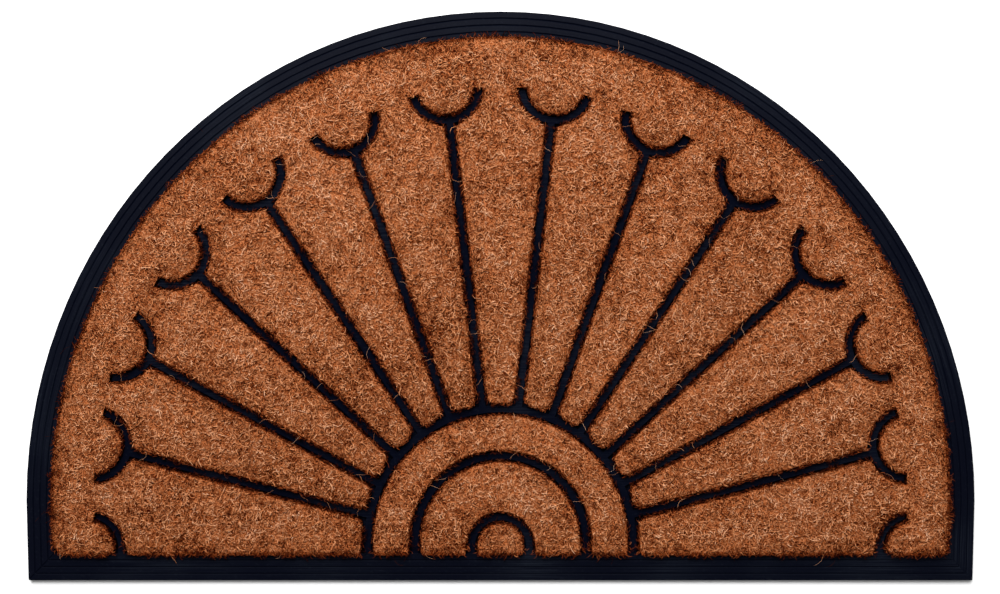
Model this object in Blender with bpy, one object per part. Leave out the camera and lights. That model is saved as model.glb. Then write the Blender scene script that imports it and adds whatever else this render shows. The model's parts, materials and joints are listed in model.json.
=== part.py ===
"""Half-round coir doormat, in metres, +Z up.

One rubber moulding makes the base, the grooved border and the raised lines of a sunburst.
Four fields of coir pile stand in the pockets that those lines leave.
The mat lies on z = 0 with its straight edge towards -Y. The origin is under the middle of its box.
"""

import math

import bmesh
import bpy
from mathutils import Vector

# The mat's outline: half an ellipse, nearly a circle, above two short legs that lean outwards
MAT_WIDTH = 0.762
MAT_DEPTH = 0.4572
LEG_HEIGHT = 0.065
LEG_LEAN = 0.026
HALF_WIDTH = MAT_WIDTH / 2
ARC_STRETCH = MAT_DEPTH - LEG_HEIGHT - HALF_WIDTH
FRONT_Y = -MAT_DEPTH / 2
ARC_CENTRE_Y = FRONT_Y + LEG_HEIGHT
ARC_STEPS = 60

# The rubber's heights above the floor
BASE_TOP = 0.003
RIB_TOP = 0.0075
BORDER_OUTER_TOP = 0.006
BORDER_INNER_TOP = 0.008

# The border: flat bands parted by narrow V grooves
BAND_COUNT = 4
BAND_WIDTH = 0.0055
GROOVE_WIDTH = 0.0012
GROOVE_DEPTH = 0.001
BORDER_WIDTH = BAND_COUNT * BAND_WIDTH

# A line cut along the diagonal of each front corner: the side of X, and its depth
MITRES = ((-1, 0.0009), (1, 0.0005))
MITRE_WIDTH = 0.0014

# The raised rubber lines
RIB_WIDTH = 0.0055
RIB_FOOT_WIDTH = 0.0065
RIB_ROOT = 0.0015

# The half rings of the sunburst: radius, height of the centre above the straight edge, steps
RINGS = (
    (0.1065, 0.0314, 36),
    (0.0685, 0.0318, 26),
    (0.0232, 0.0280, 14),
)
SUN_CENTRE_Y = FRONT_Y + RINGS[0][1]

# The rays of the right half from the front up, which the left half mirrors. Each has the angle
# in degrees where it leaves the outer ring, then the centre of the cup that it ends in: its X
# and its height above the straight edge.
RAYS = (
    (11.5, 0.3259, 0.1093),
    (25.3, 0.3067, 0.1899),
    (39.4, 0.2630, 0.2641),
    (53.8, 0.2030, 0.3267),
    (67.8, 0.1273, 0.3703),
    (82.3, 0.0442, 0.3964),
)
CUP_RADIUS = 0.0272
CUP_HALF_SPAN = math.radians(78)
CUP_STEPS = 10

# The cups that the front border cuts off, one at each side
END_CUP_X = 0.3313
END_CUP_Y = FRONT_Y + 0.0258
END_CUP_TIP = math.radians(75)
END_CUP_FOOT = math.radians(-12)
END_CUP_STEPS = 8

# The coir pile
COIR_TOP = 0.014
PIECE_GAP = 0.0003
COIR_LEAN = 0.0009
COIR_SHOULDER = 0.0014
CUT_MARGIN = 0.001

# The pile is cut round at the front corners: the right one, then the left one
COIR_CORNERS = (0.003, 0.007)
RING_CORNERS = (0.003, 0.003)
CORNER_STEPS = 3

# Where a channel leaves another one or the border, the pile's corners beside it are round
RAY_FOOT_ROUNDING = 0.006
RAY_TIP_ROUNDING = 0.0035
RING_FOOT_ROUNDING = 0.004
END_CUP_ROUNDING = 0.005
FLARE_STEPS = 3
FLARE_OVERLAP = 0.00002

# The wall of a coir field: heights, and how far it stands back from the rubber beside it
COIR_WALL = (
    (BASE_TOP + PIECE_GAP, PIECE_GAP),
    (BORDER_INNER_TOP, PIECE_GAP),
    (COIR_TOP - COIR_SHOULDER, COIR_LEAN),
    (COIR_TOP, COIR_LEAN + COIR_SHOULDER),
)

RUBBER = ("rubber", (0.0065, 0.0080, 0.0150), 0.55)
COIR = ("coir", (0.2500, 0.0800, 0.0300), 0.95)


def clear_scene():
    for item in list(bpy.data.objects):
        bpy.data.objects.remove(item)


def make_material(name, colour, roughness):
    material = bpy.data.materials.new(name)
    material.use_nodes = True
    shader = material.node_tree.nodes["Principled BSDF"]
    shader.inputs["Base Color"].default_value = (*colour, 1.0)
    shader.inputs["Roughness"].default_value = roughness
    shader.inputs["Metallic"].default_value = 0.0
    return material


def add_object(name, bm, material=None):
    """Turns bm into an object of that name, with its faces pointing out."""
    bmesh.ops.recalc_face_normals(bm, faces=bm.faces)
    mesh = bpy.data.meshes.new(name)
    bm.to_mesh(mesh)
    bm.free()
    item = bpy.data.objects.new(name, mesh)
    bpy.context.collection.objects.link(item)
    if material:
        mesh.materials.append(material)
    return item


def on_circle(centre, radius, angle):
    return centre + Vector((math.cos(angle), math.sin(angle))) * radius


def front_corner(half_width, front_y, side, rounding):
    """The points of the front corner on the side of X that side gives, anticlockwise."""
    corner = Vector((side * half_width, front_y))
    if rounding == 0:
        return [corner]
    centre = corner + Vector((-side, 1)) * rounding
    start = -math.pi / 2 if side > 0 else math.pi
    angles = [start + math.pi / 2 * step / CORNER_STEPS for step in range(CORNER_STEPS + 1)]
    return [on_circle(centre, rounding, angle) for angle in angles]


def half_round(radius, centre_y, front_y, steps, corners=(0, 0), stretch=0, lean=0):
    """An outline of half a circle and two straight legs down to front_y, anticlockwise.

    corners holds the radii that round the right and the left corner at the front.
    stretch is how much further the arc reaches up than out, and lean is the legs' slope.
    """
    half_width = radius - lean * (centre_y - front_y)
    points = front_corner(half_width, front_y, 1, corners[0])
    for step in range(steps + 1):
        angle = math.pi * step / steps
        up = centre_y + (radius + stretch) * math.sin(angle)
        points.append(Vector((radius * math.cos(angle), up)))
    return points + front_corner(half_width, front_y, -1, corners[1])


def mat_outline(inset, corners=(0, 0)):
    """The mat's outline, moved inwards by inset."""
    return half_round(
        HALF_WIDTH - inset,
        ARC_CENTRE_Y,
        FRONT_Y + inset,
        ARC_STEPS,
        corners,
        ARC_STRETCH,
        LEG_LEAN,
    )


def stacked(sections):
    """A closed body through outlines of equal length, each at its own height, in a new bmesh."""
    bm = bmesh.new()
    rings = [[bm.verts.new((*point, height)) for point in outline] for outline, height in sections]
    count = len(rings[0])
    for lower, upper in zip(rings, rings[1:]):
        for i in range(count):
            j = (i + 1) % count
            bm.faces.new((lower[i], lower[j], upper[j], upper[i]))
    bm.faces.new(rings[0])
    bm.faces.new(rings[-1])
    return bm


def swept(profile, path):
    """A closed body with one profile all along a path.

    The profile holds (offset across the path, height) and the path (point, unit vector across).
    """
    bm = bmesh.new()
    rings = []
    for point, across in path:
        ring = []
        for offset, height in profile:
            place = point.to_3d() + across.to_3d() * offset + Vector((0, 0, height))
            ring.append(bm.verts.new(place))
        rings.append(ring)
    for first, second in zip(rings, rings[1:]):
        for i in range(len(profile)):
            j = (i + 1) % len(profile)
            bm.faces.new((first[i], first[j], second[j], second[i]))
    bm.faces.new(rings[0])
    bm.faces.new(rings[-1])
    return bm


def straight_path(start, end):
    along = (end - start).normalized()
    across = Vector((along.y, -along.x, 0))
    return [(start, across), (end, across)]


def arc_path(centre, radius, start, end, steps):
    path = []
    for step in range(steps + 1):
        angle = start + (end - start) * step / steps
        path.append((on_circle(centre, radius, angle), on_circle(Vector((0, 0)), 1, angle)))
    return path


def flare_path(place, rounding):
    """A short path that starts wide in a wall and narrows, to round the pile's corners beside it.

    place gives the point and the unit vector across the path at a distance from the wall.
    """
    half = RIB_FOOT_WIDTH / 2
    path = []
    for step in range(-1, FLARE_STEPS + 1):
        turn = math.pi / 2 * max(step, 0) / FLARE_STEPS
        wider = rounding * (1 - math.sin(turn)) - FLARE_OVERLAP
        away = rounding * (1 - math.cos(turn)) if step >= 0 else -half
        point, across = place(away)
        path.append((point, across * (half + wider) / half))
    return path


def straight_flare(wall_point, away, rounding):
    """A flare that leaves the wall at wall_point along the unit vector away."""
    across = Vector((away.y, -away.x, 0))
    return flare_path(lambda distance: (wall_point + away * distance, across), rounding)


def ring_path(radius, centre_height, steps, foot_y):
    """Half a circle with a straight leg down to foot_y at each end."""
    centre = Vector((0, FRONT_Y + centre_height))
    right, left = Vector((1, 0)), Vector((-1, 0))
    path = [(Vector((radius, foot_y)), right)]
    path += arc_path(centre, radius, 0, math.pi, steps)
    return path + [(Vector((-radius, foot_y)), left)]


def cup_centre(side, cup_x, cup_height):
    return Vector((side * cup_x, FRONT_Y + cup_height))


def ray_path(side, angle, *cup):
    """From the outer ring to the point of the cup that is nearest to the rings' centre."""
    sun = Vector((0, SUN_CENTRE_Y))
    centre = cup_centre(side, *cup)
    turn = math.radians(angle)
    start = on_circle(sun, RINGS[0][0], turn if side > 0 else math.pi - turn)
    return straight_path(start, centre + (sun - centre).normalized() * CUP_RADIUS)


def cup_path(side, past_tip, *cup):
    """An arc that opens away from the middle of the mat, past_tip longer at each end."""
    centre = cup_centre(side, *cup)
    inwards = Vector((0, ARC_CENTRE_Y)) - centre
    middle = math.atan2(inwards.y, inwards.x)
    half_span = CUP_HALF_SPAN + past_tip / CUP_RADIUS
    return arc_path(centre, CUP_RADIUS, middle - half_span, middle + half_span, CUP_STEPS)


def end_cup_path(side, past_tip):
    """The upper part of a cup beside the front border, on the side of X that side gives."""
    centre = Vector((side * END_CUP_X, END_CUP_Y))
    tip = END_CUP_TIP + past_tip / CUP_RADIUS
    if side < 0:
        return arc_path(centre, CUP_RADIUS, END_CUP_FOOT, tip, END_CUP_STEPS)
    return arc_path(centre, CUP_RADIUS, math.pi - END_CUP_FOOT, math.pi - tip, END_CUP_STEPS)


def open_line_paths(past_tip):
    """The paths of all rays and cups, as (name, path)."""
    paths = []
    for name, side in (("right", 1), ("left", -1)):
        for number, (angle, *cup) in enumerate(RAYS, 1):
            paths.append((f"ray_{name}_{number}", ray_path(side, angle, *cup)))
            paths.append((f"cup_{name}_{number}", cup_path(side, past_tip, *cup)))
        paths.append((f"end_cup_{name}", end_cup_path(side, past_tip)))
    return paths


def ray_flares():
    """Flares at both ends of each ray, as (name, path)."""
    wall = RIB_FOOT_WIDTH / 2 + PIECE_GAP
    flares = []
    for name, side in (("right", 1), ("left", -1)):
        for number, ray in enumerate(RAYS, 1):
            (start, _), (end, _) = ray_path(side, *ray)
            along = (end - start).normalized()
            foot = straight_flare(start + along * wall, along, RAY_FOOT_ROUNDING)
            tip = straight_flare(end - along * wall, -along, RAY_TIP_ROUNDING)
            flares += [(f"foot_{name}_{number}", foot), (f"tip_{name}_{number}", tip)]
    return flares


def ring_flares(radius, rounding):
    """Flares where a half ring of this radius meets the front border, as (name, path)."""
    wall_y = FRONT_Y + BORDER_WIDTH + PIECE_GAP
    flares = []
    for name, side in (("right", 1), ("left", -1)):
        foot = Vector((side * radius, wall_y))
        flares.append((f"ring_foot_{name}", straight_flare(foot, Vector((0, 1)), rounding)))
    return flares


def end_cup_flares():
    """Flares where the end cups meet the front border, as (name, path)."""
    foot = math.asin((FRONT_Y + BORDER_WIDTH + PIECE_GAP - END_CUP_Y) / CUP_RADIUS)
    flares = []
    for name, side in (("right", 1), ("left", -1)):

        def place(distance):
            turn = foot + distance / CUP_RADIUS
            angle = turn if side < 0 else math.pi - turn
            centre = Vector((side * END_CUP_X, END_CUP_Y))
            return on_circle(centre, CUP_RADIUS, angle), on_circle(Vector((0, 0)), 1, angle)

        flares.append((f"end_cup_foot_{name}", flare_path(place, END_CUP_ROUNDING)))
    return flares


def combine(target, other, operation):
    """Joins other to target or cuts it out, and leaves other as a hidden guide."""
    other.hide_render = True
    other.display_type = "WIRE"
    modifier = target.modifiers.new(other.name, "BOOLEAN")
    modifier.operation = operation
    modifier.solver = "EXACT"
    modifier.object = other


def border_sections():
    """Outlines of the rubber from its outer foot, over the border's bands, to the pocket floor."""

    def top(inset):
        return BORDER_OUTER_TOP + (BORDER_INNER_TOP - BORDER_OUTER_TOP) * inset / BORDER_WIDTH

    sections = [(mat_outline(0), 0), (mat_outline(0), top(0))]
    for band in range(1, BAND_COUNT):
        middle = band * BAND_WIDTH
        for shift, drop in ((-0.5, 0), (0, GROOVE_DEPTH), (0.5, 0)):
            inset = middle + shift * GROOVE_WIDTH
            sections.append((mat_outline(inset), top(inset) - drop))
    sections.append((mat_outline(BORDER_WIDTH), BORDER_INNER_TOP))
    sections.append((mat_outline(BORDER_WIDTH), BASE_TOP))
    return sections


def mitre_cutter(side, depth):
    """A V along a front corner's diagonal that follows the slope of the border's top."""
    corner = Vector((side * (HALF_WIDTH - LEG_LEAN * LEG_HEIGHT), FRONT_Y, BORDER_OUTER_TOP))
    slope = (BORDER_INNER_TOP - BORDER_OUTER_TOP) / BORDER_WIDTH
    inwards = Vector((-side * (1 - LEG_LEAN), 1, slope))
    path = []
    for reach in (-CUT_MARGIN, BORDER_WIDTH + CUT_MARGIN):
        path.append((corner + inwards * reach, Vector((1, side, 0)).normalized()))
    widen = (depth + CUT_MARGIN) / depth
    half = MITRE_WIDTH / 2 * widen
    profile = ((0, -depth), (half, CUT_MARGIN), (-half, CUT_MARGIN))
    name = "mitre_right" if side > 0 else "mitre_left"
    return add_object(name, swept(profile, path))


def make_rubber(material):
    rubber = add_object("rubber_moulding", stacked(border_sections()), material)
    foot, top = RIB_FOOT_WIDTH / 2, RIB_WIDTH / 2
    profile = ((-foot, RIB_ROOT), (foot, RIB_ROOT), (top, RIB_TOP), (-top, RIB_TOP))
    foot_y = FRONT_Y + BORDER_WIDTH - CUT_MARGIN
    paths = [(f"ring_{number}", ring_path(*ring, foot_y)) for number, ring in enumerate(RINGS, 1)]
    for name, path in paths + open_line_paths(0):
        combine(rubber, add_object(f"rib_{name}", swept(profile, path)), "UNION")
    for side, depth in MITRES:
        combine(rubber, mitre_cutter(side, depth), "DIFFERENCE")
    return rubber


def cutter_wall():
    """The coir's wall carried on past its floor and, at the same slope, past its top."""
    (low, low_back), (high, high_back) = COIR_WALL[0], COIR_WALL[-1]
    below, below_back = COIR_WALL[-2]
    slope = (high_back - below_back) / (high - below)
    last = (high + CUT_MARGIN, high_back + slope * CUT_MARGIN)
    return [(low - CUT_MARGIN, low_back), *COIR_WALL[1:-1], last]


def field_block(name, outline, material):
    """A block of coir. outline gives the rubber's outline round it, moved inwards by a distance."""
    sections = [(outline(back), height) for height, back in COIR_WALL]
    return add_object(name, stacked(sections), material)


def cut_ring(field, ring):
    """Cuts away all that lies inside the outer side of a rubber half ring, and the gap beside it."""
    radius, centre_height, steps = ring
    rubber_side = radius + RIB_FOOT_WIDTH / 2
    centre_y = FRONT_Y + centre_height
    front = FRONT_Y + BORDER_WIDTH / 2
    sections = [
        (half_round(rubber_side + back, centre_y, front, steps), height)
        for height, back in cutter_wall()
    ]
    combine(field, add_object(f"{field.name}_hollow", stacked(sections)), "DIFFERENCE")


def cut_channels(field, paths):
    """Cuts a channel along each path, which has a name."""
    half = RIB_FOOT_WIDTH / 2
    wall = cutter_wall()
    right = [(half + back, height) for height, back in wall]
    left = [(-half - back, height) for height, back in reversed(wall)]
    for name, path in paths:
        cutter = add_object(f"{field.name}_channel_{name}", swept(right + left, path))
        combine(field, cutter, "DIFFERENCE")


def make_coir(material):
    def in_border(back):
        return mat_outline(BORDER_WIDTH + back, COIR_CORNERS)

    sunburst = field_block("coir_sunburst", in_border, material)
    cut_ring(sunburst, RINGS[0])
    cut_channels(sunburst, open_line_paths(COIR_LEAN))
    flares = ray_flares() + end_cup_flares() + ring_flares(RINGS[0][0], RING_FOOT_ROUNDING)
    cut_channels(sunburst, flares)
    names = ("coir_outer_ring", "coir_inner_ring", "coir_hub")
    for name, (radius, centre_height, steps), inner in zip(names, RINGS, [*RINGS[1:], None]):
        pocket = radius - RIB_FOOT_WIDTH / 2
        centre_y = FRONT_Y + centre_height

        def in_ring(back):
            foot_y = FRONT_Y + BORDER_WIDTH + back
            return half_round(pocket - back, centre_y, foot_y, steps, RING_CORNERS)

        field = field_block(name, in_ring, material)
        if inner:
            cut_ring(field, inner)
            cut_channels(field, ring_flares(inner[0], RING_CORNERS[0]))


def main():
    clear_scene()
    make_rubber(make_material(*RUBBER))
    make_coir(make_material(*COIR))


main()
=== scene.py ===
"""The looks of a half-round coir doormat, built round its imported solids.

The rubber moulding gets rounded edges and a grain that runs along its border.
Each coir field gets a matted bed and a pile of single fibres that hangs over its edges.
Thin wisps cross the channels, and some loose fibres lie on the rubber.
"""

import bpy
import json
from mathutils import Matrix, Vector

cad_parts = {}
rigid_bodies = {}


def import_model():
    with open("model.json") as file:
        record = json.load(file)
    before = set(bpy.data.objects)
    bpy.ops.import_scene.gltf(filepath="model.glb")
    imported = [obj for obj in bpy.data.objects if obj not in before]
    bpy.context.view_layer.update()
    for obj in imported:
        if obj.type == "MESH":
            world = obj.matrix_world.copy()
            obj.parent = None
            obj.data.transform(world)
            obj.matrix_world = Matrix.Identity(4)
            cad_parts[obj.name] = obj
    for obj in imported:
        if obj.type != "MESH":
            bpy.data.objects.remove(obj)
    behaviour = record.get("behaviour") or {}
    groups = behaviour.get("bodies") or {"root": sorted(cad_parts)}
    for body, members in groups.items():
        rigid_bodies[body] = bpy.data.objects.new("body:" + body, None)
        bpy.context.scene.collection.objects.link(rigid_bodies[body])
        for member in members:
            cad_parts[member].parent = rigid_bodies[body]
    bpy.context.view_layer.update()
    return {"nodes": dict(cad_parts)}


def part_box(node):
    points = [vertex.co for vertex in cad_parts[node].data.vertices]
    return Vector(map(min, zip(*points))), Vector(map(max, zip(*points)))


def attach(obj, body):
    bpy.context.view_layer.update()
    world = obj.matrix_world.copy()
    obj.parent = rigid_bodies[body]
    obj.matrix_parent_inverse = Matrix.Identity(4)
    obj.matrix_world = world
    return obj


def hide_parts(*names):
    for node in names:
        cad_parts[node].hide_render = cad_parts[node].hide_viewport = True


bl_info = {
    "name": "Half-Round Coir Doormat",
    "version": (1, 0, 0),
    "blender": (4, 5, 0),
    "location": "3D View > Sidebar > Doormat",
    "description": "Builds the moulding, the coir pile and a plain stage",
    "category": "Add Mesh",
}

import json
import math

import bpy
import numpy as np
from bpy.props import FloatProperty, FloatVectorProperty, IntProperty, PointerProperty
from mathutils.bvhtree import BVHTree

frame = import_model()

BODY = "root"
RUBBER_NODE = "rubber_moulding"
COIR_NODES = ("coir_sunburst", "coir_outer_ring", "coir_inner_ring", "coir_hub")

# The mat's outline and heights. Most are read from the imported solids
rubber_low, rubber_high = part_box(RUBBER_NODE)
coir_low, coir_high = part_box(COIR_NODES[0])
FRONT_Y = rubber_low.y
LEG_HEIGHT = 0.065
LEG_LEAN = 0.026
HALF_WIDTH = rubber_high.x
ARC_CENTRE_Y = FRONT_Y + LEG_HEIGHT
ARC_HEIGHT = rubber_high.y - ARC_CENTRE_Y
PILE_TOP = coir_high.z
BED_FLOOR = coir_low.z
WALL_LOW = 0.0085
BORDER_WIDTH = 0.022

# The beds: how far they stand in from the solids, how much lower their rims are, how near to the
# border the outer rim is, and how far it reaches over the border
BED_GAP = 0.0004
BED_RIM_DROP = 0.0011
BED_OUTER_RIM = 0.0022
BED_REACH = 0.0022

# The sides of a fibre, and how far the front's part of the grain map lies from the rest
SIDES = 3
MAP_SHIFT = 3.0

UV_GRAIN = "Grain"
UV_BAKE = "OFBake"
FIBRE_FACTS = "fibre"


class RubberSettings(bpy.types.PropertyGroup):
    """Sizes and colours of the rubber moulding."""

    edge_rounding: FloatProperty(
        name="Edge Rounding", description="How wide its edges' rounding is", default=0.0003, unit="LENGTH"
    )
    colour: FloatVectorProperty(
        name="Colour", description="Clean rubber", default=(0.0006, 0.0011, 0.0042), subtype="COLOR"
    )
    dust: FloatVectorProperty(
        name="Dust", description="Dust on the rubber", default=(0.014, 0.018, 0.026), subtype="COLOR"
    )


class CoirSettings(bpy.types.PropertyGroup):
    """Sizes and colours of the coir."""

    bed_depth: FloatProperty(
        name="Bed Depth", description="How far the beds lie under the solids", default=0.0017, unit="LENGTH"
    )
    short_count: IntProperty(name="Short Fibres", description="Fibres with one bend", default=52000)
    curved_count: IntProperty(name="Curved Fibres", description="Fibres with two bends", default=27000)
    long_count: IntProperty(name="Long Fibres", description="Fibres with four bends", default=5500)
    fringe_count: IntProperty(
        name="Fringe Fibres", description="Fibres that hang over the channels", default=15000
    )
    wisp_count: IntProperty(name="Wisps", description="Thin fibres that cross the channels", default=100)
    stray_count: IntProperty(name="Stray Fibres", description="Fibres that lie on the rubber", default=40)
    thickness: FloatProperty(
        name="Thickness", description="Mean radius of a fibre", default=0.00027, unit="LENGTH"
    )
    edge_slope: FloatProperty(
        name="Edge Slope", description="How steeply the pile falls beside a channel", default=0.70
    )
    overhang: FloatProperty(
        name="Overhang", description="How far the pile hangs over a channel", default=0.0025, unit="LENGTH"
    )
    border_overhang: FloatProperty(
        name="Overhang at Border", description="How much more at the border", default=0.0020, unit="LENGTH"
    )
    seed: IntProperty(name="Seed", description="Seed of the random draws", default=7)
    dark: FloatVectorProperty(
        name="Dark", description="Darkest fibres", default=(0.100, 0.014, 0.0015), subtype="COLOR"
    )
    brown: FloatVectorProperty(
        name="Brown", description="Most fibres", default=(0.560, 0.212, 0.081), subtype="COLOR"
    )
    tan: FloatVectorProperty(
        name="Tan", description="Lighter fibres", default=(0.645, 0.305, 0.155), subtype="COLOR"
    )
    straw: FloatVectorProperty(
        name="Straw", description="Palest fibres", default=(0.680, 0.395, 0.245), subtype="COLOR"
    )


class StageSettings(bpy.types.PropertyGroup):
    """The floor, the lights and the camera."""

    camera_height: FloatProperty(
        name="Camera Height", description="Height above the floor", default=1.122, unit="LENGTH"
    )
    lens: FloatProperty(name="Lens", description="Focal length", default=50.0, unit="CAMERA")
    floor_colour: FloatVectorProperty(
        name="Floor", description="Colour of the floor", default=(0.90, 0.90, 0.90), subtype="COLOR"
    )
    key_power: FloatProperty(name="Key Light", description="Its power", default=71.0, unit="POWER")
    sky: FloatProperty(name="Sky", description="Even light from all round", default=0.30)


def merged_copy(node, name, dissolve):
    """A new piece with a node's mesh, its loose triangles joined, and flat ones merged if asked.

    It is the only one that is selected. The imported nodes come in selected.
    """
    piece = bpy.data.objects.new(name, frame["nodes"][node].data.copy())
    piece.data.name = name
    piece.data.materials.clear()
    bpy.context.scene.collection.objects.link(piece)
    for other in bpy.context.scene.objects:
        other.select_set(other == piece)
    bpy.context.view_layer.objects.active = piece
    bpy.ops.object.mode_set(mode="EDIT")
    bpy.ops.mesh.select_all(action="SELECT")
    bpy.ops.mesh.remove_doubles(threshold=2e-6)
    if dissolve:
        bpy.ops.mesh.dissolve_limited(angle_limit=math.radians(0.1))
    bpy.ops.object.mode_set(mode="OBJECT")
    return piece


def finish_piece(piece, material):
    """Gives piece its material and the body that it rides on."""
    piece.data.materials.append(material)
    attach(piece, BODY)


def get_all(items, name, each=1, kind=np.float32):
    """One property of all items, as an array with a row for each."""
    values = np.empty(len(items) * each, kind)
    items.foreach_get(name, values)
    return values.reshape(-1, each) if each > 1 else values


def set_all(items, name, values, kind=np.float32):
    """Sets one property of all items."""
    items.foreach_set(name, values.astype(kind).ravel())


def mesh_points(mesh):
    """A mesh's vertices as rows of x, y and z."""
    return get_all(mesh.vertices, "co", 3).astype(float)


def unit(vectors):
    """The vectors at a length of 1."""
    return vectors / np.maximum(np.linalg.norm(vectors, axis=-1, keepdims=True), 1e-12)


def patches(points, cell, rng):
    """A smooth random value from 0 to 1 for each point, that changes over about one cell."""
    place = (points[:, :2] - [rubber_low.x - cell, FRONT_Y - cell]) / cell
    low = np.floor(place).astype(int)
    part = place - low
    part = part * part * (3 - 2 * part)
    values = rng.random(low.max(0) + 2)
    column, row = low.T
    across, up = part.T
    near, far = (
        values[column, row + i] * (1 - across) + values[column + 1, row + i] * across for i in (0, 1)
    )
    return near * (1 - up) + far * up


def inset_from_sides(place):
    """How far in from the mat's legs and arc each point lies."""
    width = np.abs(place[:, 0]) + LEG_LEAN * np.maximum(ARC_CENTRE_Y - place[:, 1], 0)
    beyond = np.maximum(place[:, 1] - ARC_CENTRE_Y, 0)
    inset = np.zeros(len(place))
    for _ in range(3):
        inset = HALF_WIDTH - np.hypot(width, beyond * (HALF_WIDTH - inset) / (ARC_HEIGHT - inset))
    return inset


def add_grain_map(piece):
    """Maps the moulding in metres, along its outline and in from its edge, so grain can follow it."""
    mesh = piece.data
    place = mesh_points(mesh)[get_all(mesh.loops, "vertex_index", kind=np.int32)]
    sizes = get_all(mesh.polygons, "loop_total", kind=np.int32)
    centres = np.repeat(get_all(mesh.polygons, "center", 3), sizes, axis=0)
    beyond = place[:, 1] - ARC_CENTRE_Y
    angle = np.arctan2(np.maximum(beyond, 0), place[:, 0])
    along_side = HALF_WIDTH * angle + np.sign(place[:, 0]) * np.minimum(beyond, 0)
    at_front = centres[:, 1] - FRONT_Y < inset_from_sides(centres)
    along = np.where(at_front, place[:, 0] - MAP_SHIFT, along_side)
    across = np.where(at_front, place[:, 1] - FRONT_Y, inset_from_sides(place))
    set_all(mesh.uv_layers.new(name=UV_GRAIN).data, "uv", np.stack([along, across], 1))


def strand_faces(rings):
    """For one strand: its faces' corners, how many corners each face has, and each corner's place.

    The place is (along the strand, round it), both from 0 to 1, for the bake's map.
    """
    found, sizes = [], []

    def corner(ring, side):
        return 1 + SIDES * (ring - 1) + side % SIDES, ring / (rings + 1), side / SIDES

    for side in range(SIDES):
        middle = (side + 0.5) / SIDES
        found += [(0, 0, middle), corner(1, side + 1), corner(1, side)]
        for ring in range(1, rings):
            found += [corner(ring, side), corner(ring, side + 1)]
            found += [corner(ring + 1, side + 1), corner(ring + 1, side)]
        found += [corner(rings, side), corner(rings, side + 1), (1 + SIDES * rings, 1, middle)]
        sizes += [3, *[4] * (rings - 1), 3]
    found = np.array(found)
    return found[:, 0].astype(int), np.array(sizes), found[:, 1:]


def strand_points(lines, radii):
    """The vertices of three-sided strands: the first point, a ring round each one between, the last.

    lines holds (strand, point, xyz).
    """
    count, points = lines.shape[:2]
    rings = points - 2
    heading = unit(lines[:, 2:] - lines[:, :-2])
    first = unit(np.cross(heading, [0.36, 0.48, 0.80]))
    second = np.cross(heading, first)
    turns = 2 * math.pi * np.arange(SIDES)[:, None] / SIDES
    round_it = np.cos(turns) * first[:, :, None] + np.sin(turns) * second[:, :, None]
    middles = lines[:, 1:-1, None] + round_it * radii[:, None, None, None]
    middles = middles.reshape(count, rings * SIDES, 3)
    return np.concatenate([lines[:, :1], middles, lines[:, -1:]], axis=1)


def strand_arrays(lines, radii, tones):
    """The arrays that join_strands needs, for strands that have as many points each.

    A strand's facts are its tone and the share of its length that lies behind each vertex.
    """
    count, points = lines.shape[:2]
    rings = points - 2
    vertices = strand_points(lines, radii)
    corners, sizes, places = strand_faces(rings)
    along = np.concatenate([[0], np.repeat(np.arange(1, rings + 1), SIDES), [rings + 1]]) / (rings + 1)
    facts = np.zeros((count, vertices.shape[1], 3))
    facts[..., 0] = tones[:, None]
    facts[..., 1] = along[None]
    return vertices, facts, corners, sizes, places


def join_strands(name, groups):
    """One mesh of all strands in groups, each from strand_arrays."""
    strands = sum(len(group[0]) for group in groups)
    cells = math.ceil(math.sqrt(strands))
    vertices, facts, corners, sizes, places = [], [], [], [], []
    first_vertex = first_strand = 0
    for points, group_facts, group_corners, group_sizes, group_places in groups:
        count, each = points.shape[:2]
        numbers = np.arange(count)[:, None]
        vertices.append(points.reshape(-1, 3))
        facts.append(group_facts.reshape(-1, 3))
        corners.append((group_corners + first_vertex + numbers * each).ravel())
        sizes.append(np.tile(group_sizes, count))
        cell = first_strand + numbers
        origin = np.stack([cell % cells, cell // cells], 2)
        places.append(((origin + 0.1 + 0.8 * group_places) / cells).reshape(-1, 2))
        first_vertex += count * each
        first_strand += count
    sizes = np.concatenate(sizes)
    mesh = bpy.data.meshes.new(name)
    mesh.vertices.add(first_vertex)
    set_all(mesh.vertices, "co", np.concatenate(vertices))
    mesh.loops.add(int(sizes.sum()))
    set_all(mesh.loops, "vertex_index", np.concatenate(corners), np.int32)
    mesh.polygons.add(len(sizes))
    set_all(mesh.polygons, "loop_start", np.cumsum(sizes) - sizes, np.int32)
    mesh.update(calc_edges=True)
    mesh.validate()
    mesh.shade_smooth()
    set_all(mesh.uv_layers.new(name=UV_BAKE).data, "uv", np.concatenate(places))
    attribute = mesh.attributes.new(FIBRE_FACTS, "FLOAT_VECTOR", "POINT")
    set_all(attribute.data, "vector", np.concatenate(facts))
    piece = bpy.data.objects.new(name, mesh)
    bpy.context.scene.collection.objects.link(piece)
    return piece


def node_triangles(nodes):
    """The corners and normals of all triangles of these nodes."""
    found = []
    for node in nodes:
        mesh = frame["nodes"][node].data
        mesh.calc_loop_triangles()
        found.append(mesh_points(mesh)[get_all(mesh.loop_triangles, "vertices", 3, np.int32)])
    corners = np.concatenate(found)
    return corners, np.cross(corners[:, 1] - corners[:, 0], corners[:, 2] - corners[:, 0])


def pile_ground(nodes, least, most):
    """The triangles of coir nodes whose normals rise by least to most, as (corners, normals, areas)."""
    corners, normals = node_triangles(nodes)
    areas = np.linalg.norm(normals, axis=1) / 2
    normals = unit(normals)
    kept = (normals[:, 2] > least) & (normals[:, 2] < most)
    return corners[kept], normals[kept], areas[kept]


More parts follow.
